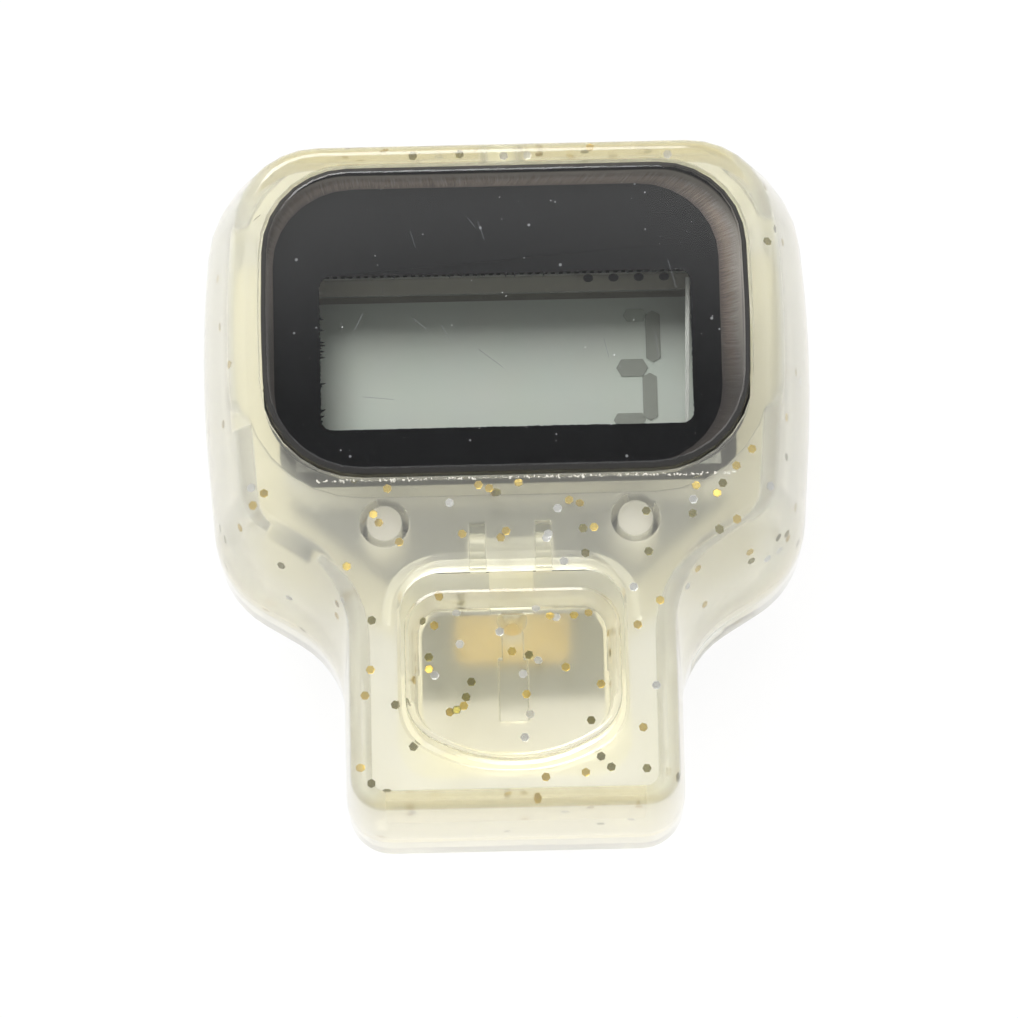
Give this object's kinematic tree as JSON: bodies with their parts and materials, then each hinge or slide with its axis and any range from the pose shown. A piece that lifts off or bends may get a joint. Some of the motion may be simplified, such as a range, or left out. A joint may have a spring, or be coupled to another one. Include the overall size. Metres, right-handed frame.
{
  "type": "digital tally counter",
  "caption": "Finger-worn digital tally counter: hazy glitter housing with a wide head, lens over a numeric display, thumb button on the stem and a recessed reset button.",
  "frame": {"origin": "centre of the back face that it rests on, lowest point of the part", "axes": "+Z out of the display face, +Y towards the top of the display, +X to the reader's right"},
  "size_m": [0.0312, 0.035, 0.0135],
  "materials": {
    "glitter_plastic": "gloss",
    "clear_acrylic": "gloss",
    "black_print": "satin",
    "polariser_film": "satin",
    "display_glass": "gloss",
    "reflector_film": "matte",
    "white_plastic": "matte",
    "zebra_silicone": "matte",
    "solder_mask": "satin",
    "black_epoxy": "satin",
    "capacitor_ceramic": "matte",
    "resistor_glaze": "satin",
    "nickel_steel": "satin",
    "spring_steel": "satin",
    "dome_steel": "gloss",
    "amber_film": "satin",
    "button_plastic": "gloss",
    "switch_nylon": "matte",
    "stem_nylon": "matte",
    "zinc_steel": "satin"
  },
  "bodies": {
    "housing": {"front_shell": "glitter_plastic", "back_shell": "glitter_plastic", "display_lens": "clear_acrylic", "window_mask": "black_print", "lcd_front_polariser": "polariser_film", "lcd_front_glass": "display_glass", "lcd_rear_glass": "display_glass", "lcd_reflector": "reflector_film", "lcd_frame": "white_plastic", "zebra_strip": "zebra_silicone", "circuit_board": "solder_mask", "chip_blob": "black_epoxy", "chip_capacitor": "capacitor_ceramic", "chip_resistor": "resistor_glaze", "button_cell": "nickel_steel", "cell_contact_positive": "spring_steel", "cell_contact_negative": "spring_steel", "snap_dome": "dome_steel", "dome_film": "amber_film", "reset_switch_body": "switch_nylon", "shell_screw_left": "zinc_steel", "shell_screw_right": "zinc_steel"},
    "counting": {"count_button": "button_plastic"},
    "resetting": {"reset_button": "button_plastic", "reset_switch_stem": "stem_nylon"}
  },
  "joints": [
    {"name": "count_press", "type": "hinge", "parent": "housing", "child": "counting", "pos_m": [0, -0.0036, 0.0109], "axis": [1, 0, 0], "range_deg": [0, 4.5], "stiffness_Nm_per_rad": 0.03, "deforming": ["snap_dome", "dome_film"]},
    {"name": "reset_press", "type": "slide", "parent": "housing", "child": "resetting", "axis": [0, -1, 0], "range_m": [0, 0.00025], "stiffness_N_per_m": 300}
  ]
}
